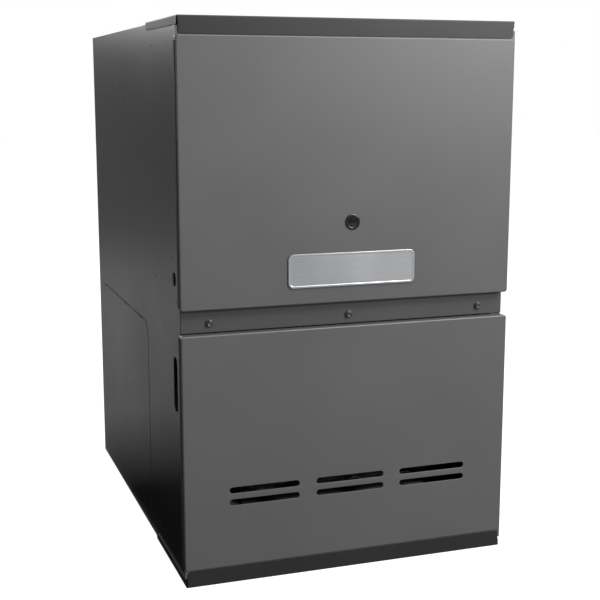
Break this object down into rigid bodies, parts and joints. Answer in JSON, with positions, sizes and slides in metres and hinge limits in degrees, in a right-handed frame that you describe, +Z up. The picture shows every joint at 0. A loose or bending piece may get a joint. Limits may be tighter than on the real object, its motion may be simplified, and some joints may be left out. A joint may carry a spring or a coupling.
{
  "type": "forced air gas furnace",
  "caption": "Downflow forced air gas furnace: grey sheet-metal cabinet with tilting doors, blower above and burners, tube heat exchanger and draught inducer below.",
  "frame": {"origin": "centre of the footprint, on the surface that the furnace stands on", "axes": "+Z up, -Y out of the doors, +X to the right as seen from the front"},
  "size_m": [0.5334, 0.7322, 0.848],
  "materials": {
    "door_paint": "fine-textured satin powder coat, mid grey",
    "trim_paint": "fine-textured satin powder coat, dark grey",
    "cabinet_paint": "baked satin enamel, dark grey",
    "galvanised_steel": "hot-dip galvanised sheet with a fine spangle",
    "aluminised_steel": "aluminised sheet and tube, matt",
    "bright_steel": "ground bright steel",
    "screw_zinc": "zinc-plated, dull",
    "plate_aluminium": "satin anodised",
    "cast_aluminium": "die-cast, bead blasted",
    "black_plastic": "moulded, fine grain",
    "smoked_lens": "smoked polycarbonate",
    "black_rubber": "moulded rubber",
    "motor_enamel": "semi-gloss black enamel",
    "liner": "pressed fibre pad",
    "circuit_board": "green solder mask",
    "ceramic": "unglazed electrical ceramic",
    "black_pipe": "oiled black steel pipe"
  },
  "bodies": {
    "cabinet": {"left_side_panel": "cabinet_paint", "right_side_panel": "cabinet_paint", "back_panel": "cabinet_paint", "top_front_trim": "trim_paint", "bottom_front_trim": "trim_paint", "return_air_frame": "galvanised_steel", "supply_air_frame": "galvanised_steel", "center_rail": "galvanised_steel", "blower_deck": "galvanised_steel", "vestibule_panel": "galvanised_steel", "wiring_hole_plug": "black_plastic", "gas_slot_plug": "black_plastic", "blower_housing": "galvanised_steel", "blower_motor": "motor_enamel", "blower_motor_mount": "galvanised_steel", "vent_pipe": "galvanised_steel", "inducer_housing": "black_plastic", "inducer_motor": "motor_enamel", "collector_box": "aluminised_steel", "heat_exchanger_tube_1": "aluminised_steel", "heat_exchanger_tube_2": "aluminised_steel", "heat_exchanger_tube_3": "aluminised_steel", "heat_exchanger_tube_4": "aluminised_steel", "heat_exchanger_support": "galvanised_steel", "burner_1": "aluminised_steel", "burner_2": "aluminised_steel", "burner_3": "aluminised_steel", "burner_4": "aluminised_steel", "burner_rack": "galvanised_steel", "flame_sensor": "ceramic", "hot_surface_ignitor": "ceramic", "gas_manifold": "black_pipe", "gas_valve": "cast_aluminium", "pressure_switch": "black_plastic", "pressure_hose": "black_rubber", "rollout_switch": "ceramic", "limit_switch": "ceramic", "control_bracket": "galvanised_steel", "control_board": "circuit_board", "transformer": "motor_enamel", "junction_box": "galvanised_steel", "run_capacitor": "plate_aluminium", "capacitor_strap": "galvanised_steel", "door_switch_body": "black_plastic", "wiring_harness": "black_rubber"},
    "upper_door": {"upper_door": "door_paint", "upper_door_liner": "liner", "sight_glass_bezel": "black_rubber", "sight_glass_lens": "smoked_lens", "nameplate": "plate_aluminium", "door_screw_left": "screw_zinc", "door_screw_middle": "screw_zinc", "door_screw_right": "screw_zinc"},
    "lower_door": {"lower_door": "door_paint"},
    "blower_wheel": {"blower_wheel": "galvanised_steel", "blower_shaft": "bright_steel"},
    "inducer_wheel": {"inducer_wheel": "galvanised_steel"},
    "door_switch_plunger": {"door_switch_plunger": "ceramic"},
    "gas_valve_knob": {"gas_valve_knob": "black_plastic"}
  },
  "joints": [
    {"name": "upper_door_hinge", "type": "hinge", "parent": "cabinet", "child": "upper_door", "pos_m": [0, -0.36325, 0.8221], "axis": [-1, 0, 0], "range_deg": [0, 30]},
    {"name": "lower_door_hinge", "type": "hinge", "parent": "cabinet", "child": "lower_door", "pos_m": [0, -0.36325, 0.0259], "axis": [1, 0, 0], "range_deg": [0, 30]},
    {"name": "blower_wheel_spin", "type": "hinge", "parent": "cabinet", "child": "blower_wheel", "pos_m": [0, 0.03615, 0.6308], "axis": [1, 0, 0], "continuous": true},
    {"name": "inducer_wheel_spin", "type": "hinge", "parent": "cabinet", "child": "inducer_wheel", "pos_m": [0.05, -0.23945, 0.332], "axis": [0, 1, 0], "continuous": true},
    {"name": "door_switch_travel", "type": "slide", "parent": "cabinet", "child": "door_switch_plunger", "axis": [0, -1, 0], "range_m": [0, 0.004]},
    {"name": "gas_valve_knob_turn", "type": "hinge", "parent": "cabinet", "child": "gas_valve_knob", "pos_m": [-0.19, -0.34385, 0.3055], "axis": [0, 1, 0], "range_deg": [0, 90]}
  ],
  "couplings": [
    {"joint": "door_switch_travel", "follows": "upper_door_hinge", "m_per_rad": 0.0076}
  ]
}
